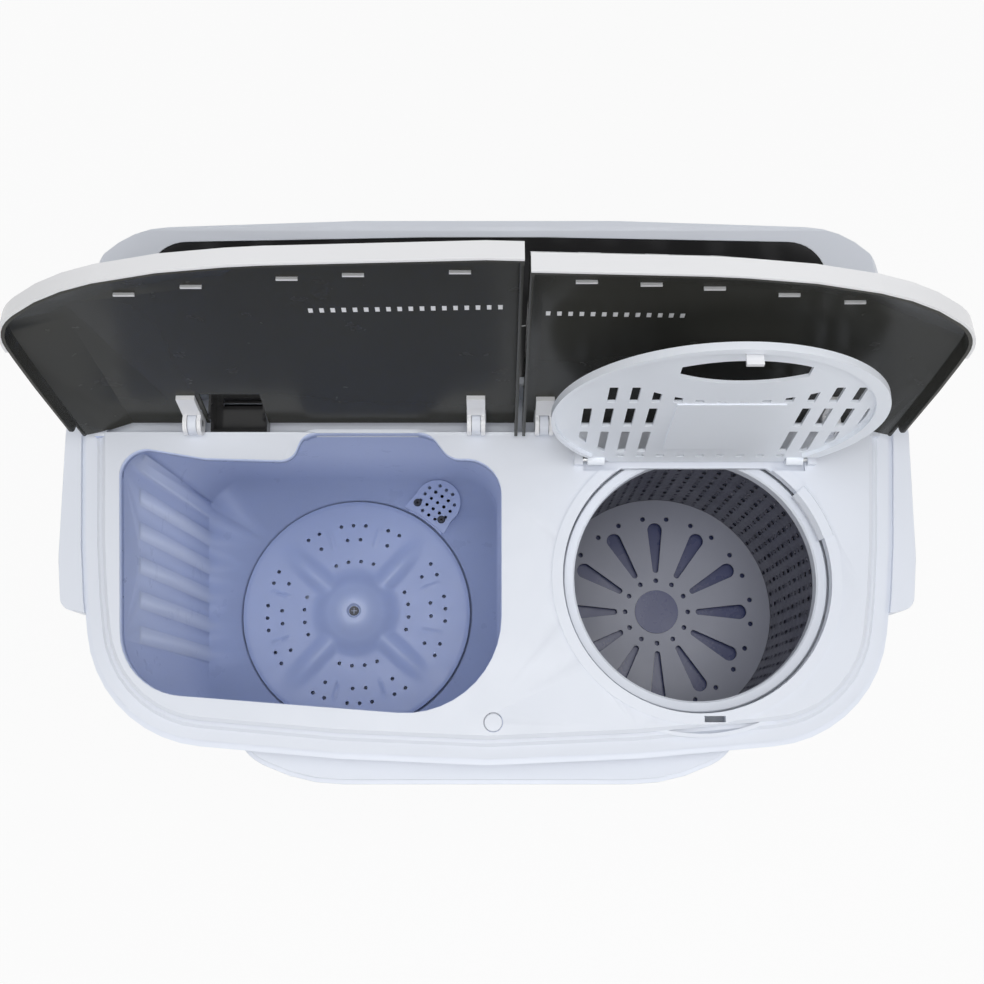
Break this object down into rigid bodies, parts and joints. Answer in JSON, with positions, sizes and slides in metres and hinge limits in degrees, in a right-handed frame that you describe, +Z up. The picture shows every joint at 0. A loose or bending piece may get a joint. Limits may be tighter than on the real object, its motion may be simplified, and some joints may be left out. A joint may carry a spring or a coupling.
{
  "type": "twin tub washing machine",
  "caption": "Twin tub washing machine with a pulsator wash tub, a spin basket, two open smoked lids, an inner safety cover and a sloped console with three knobs.",
  "frame": {"origin": "on the floor, under the middle of the machine with its lids open", "axes": "+X to the machine's right seen from its front, +Y to the back where the console is, +Z up"},
  "size_m": [0.712, 0.444, 1.0585],
  "materials": {
    "white_shell": "smooth white moulding with a soft gloss",
    "white_trim": "glossy white",
    "tub_blue": "semi gloss lavender blue",
    "lid_smoke": "glossy smoked translucent plastic",
    "panel_black": "glossy black",
    "basket_white": "satin white",
    "cap_blue": "dark blue",
    "steel": "bare steel",
    "stainless": "stainless screws",
    "motor_paint": "dark painted",
    "light_alloy": "cast",
    "grey_plastic": "matte",
    "rubber": "matte"
  },
  "bodies": {
    "cabinet": {"cabinet_shell": "white_shell", "base_tray": "white_shell", "rubber_feet": "rubber", "back_panel": "white_shell", "top_frame": "white_shell", "side_grips": "white_shell", "screw_plug": "white_trim", "wash_tub": "tub_blue", "lint_grille": "tub_blue", "case_screws": "stainless", "bearing_housing": "light_alloy", "drive_belt": "rubber", "wash_motor": "motor_paint", "drive_frame": "steel", "spin_tub": "tub_blue", "shaft_boot": "rubber", "spin_motor": "motor_paint", "spin_motor_mounts": "rubber", "rinse_spout": "white_trim", "drain_valve_body": "grey_plastic", "drain_pipe": "rubber", "drain_spigot": "grey_plastic", "water_inlet": "grey_plastic", "water_trough": "panel_black", "console_housing": "white_shell", "control_panel": "panel_black", "wash_timer": "grey_plastic", "selector_switch": "grey_plastic", "spin_timer": "grey_plastic", "capacitor": "light_alloy", "cord_gland": "rubber"},
    "basket": {"basket_wall_ring": "basket_white", "basket_rim": "basket_white", "basket_floor": "basket_white", "basket_base": "cap_blue", "basket_shaft": "steel", "brake_drum": "light_alloy"},
    "pulsator": {"pulsator": "tub_blue", "pulsator_screw": "stainless", "pulsator_shaft": "steel", "pulsator_pulley": "light_alloy"},
    "motor_pulley": {"motor_pulley": "light_alloy"},
    "wash_lid": {"wash_lid": "lid_smoke", "wash_lid_trim": "white_trim", "wash_lid_grip": "white_trim", "wash_lid_arms": "white_trim", "wash_lid_pins": "steel"},
    "spin_lid": {"spin_lid": "lid_smoke", "spin_lid_trim": "white_trim", "spin_lid_grip": "white_trim", "spin_lid_arms": "white_trim", "spin_lid_pins": "steel"},
    "inner_cover": {"inner_cover": "white_shell", "cover_latch": "white_trim", "cover_pins": "steel"},
    "wash_timer_knob": {"wash_timer_knob": "white_trim"},
    "selector_knob": {"selector_knob": "white_trim"},
    "spin_timer_knob": {"spin_timer_knob": "white_trim"},
    "drain_valve_plunger": {"drain_valve_plunger": "rubber"},
    "brake_arm": {"brake_arm": "steel"}
  },
  "joints": [
    {"name": "basket_spin", "type": "hinge", "parent": "cabinet", "child": "basket", "pos_m": [0.172, -0.056, 0.5], "axis": [0, 0, 1], "continuous": true},
    {"name": "pulsator_spin", "type": "hinge", "parent": "cabinet", "child": "pulsator", "pos_m": [-0.136, -0.056, 0.47], "axis": [0, 0, 1], "continuous": true},
    {"name": "motor_spin", "type": "hinge", "parent": "cabinet", "child": "motor_pulley", "pos_m": [-0.2, 0.116, 0.407], "axis": [0, 0, 1], "continuous": true},
    {"name": "wash_lid_hinge", "type": "hinge", "parent": "cabinet", "child": "wash_lid", "pos_m": [-0.15, 0.071, 0.785], "axis": [1, 0, 0], "range_deg": [0, 102.4]},
    {"name": "spin_lid_hinge", "type": "hinge", "parent": "cabinet", "child": "spin_lid", "pos_m": [0.19, 0.071, 0.785], "axis": [1, 0, 0], "range_deg": [0, 100.7]},
    {"name": "inner_cover_hinge", "type": "hinge", "parent": "cabinet", "child": "inner_cover", "pos_m": [0.172, 0.042, 0.779], "axis": [1, 0, 0], "range_deg": [0, 97.9]},
    {"name": "wash_timer_turn", "type": "hinge", "parent": "cabinet", "child": "wash_timer_knob", "pos_m": [-0.117, 0.13883, 0.8197], "axis": [0, -0.425, 0.9052], "range_deg": [-300, 0]},
    {"name": "selector_turn", "type": "hinge", "parent": "cabinet", "child": "selector_knob", "pos_m": [0, 0.13883, 0.8197], "axis": [0, -0.425, 0.9052], "range_deg": [-80, 0]},
    {"name": "spin_timer_turn", "type": "hinge", "parent": "cabinet", "child": "spin_timer_knob", "pos_m": [0.117, 0.13883, 0.8197], "axis": [0, -0.425, 0.9052], "range_deg": [-300, 0]},
    {"name": "drain_valve_lift", "type": "slide", "parent": "cabinet", "child": "drain_valve_plunger", "axis": [0, 0, 1], "range_m": [0, 0.012]},
    {"name": "brake_arm_swing", "type": "hinge", "parent": "cabinet", "child": "brake_arm", "pos_m": [0.236, -0.022, 0.28], "axis": [0, 0, 1], "range_deg": [0, 8.1]}
  ],
  "couplings": [
    {"joint": "motor_spin", "follows": "pulsator_spin", "ratio": 3.4286},
    {"joint": "inner_cover_hinge", "follows": "spin_lid_hinge", "ratio": 0.972},
    {"joint": "brake_arm_swing", "follows": "spin_lid_hinge", "ratio": 0.08},
    {"joint": "drain_valve_lift", "follows": "selector_turn", "m_per_rad": -0.0085}
  ]
}
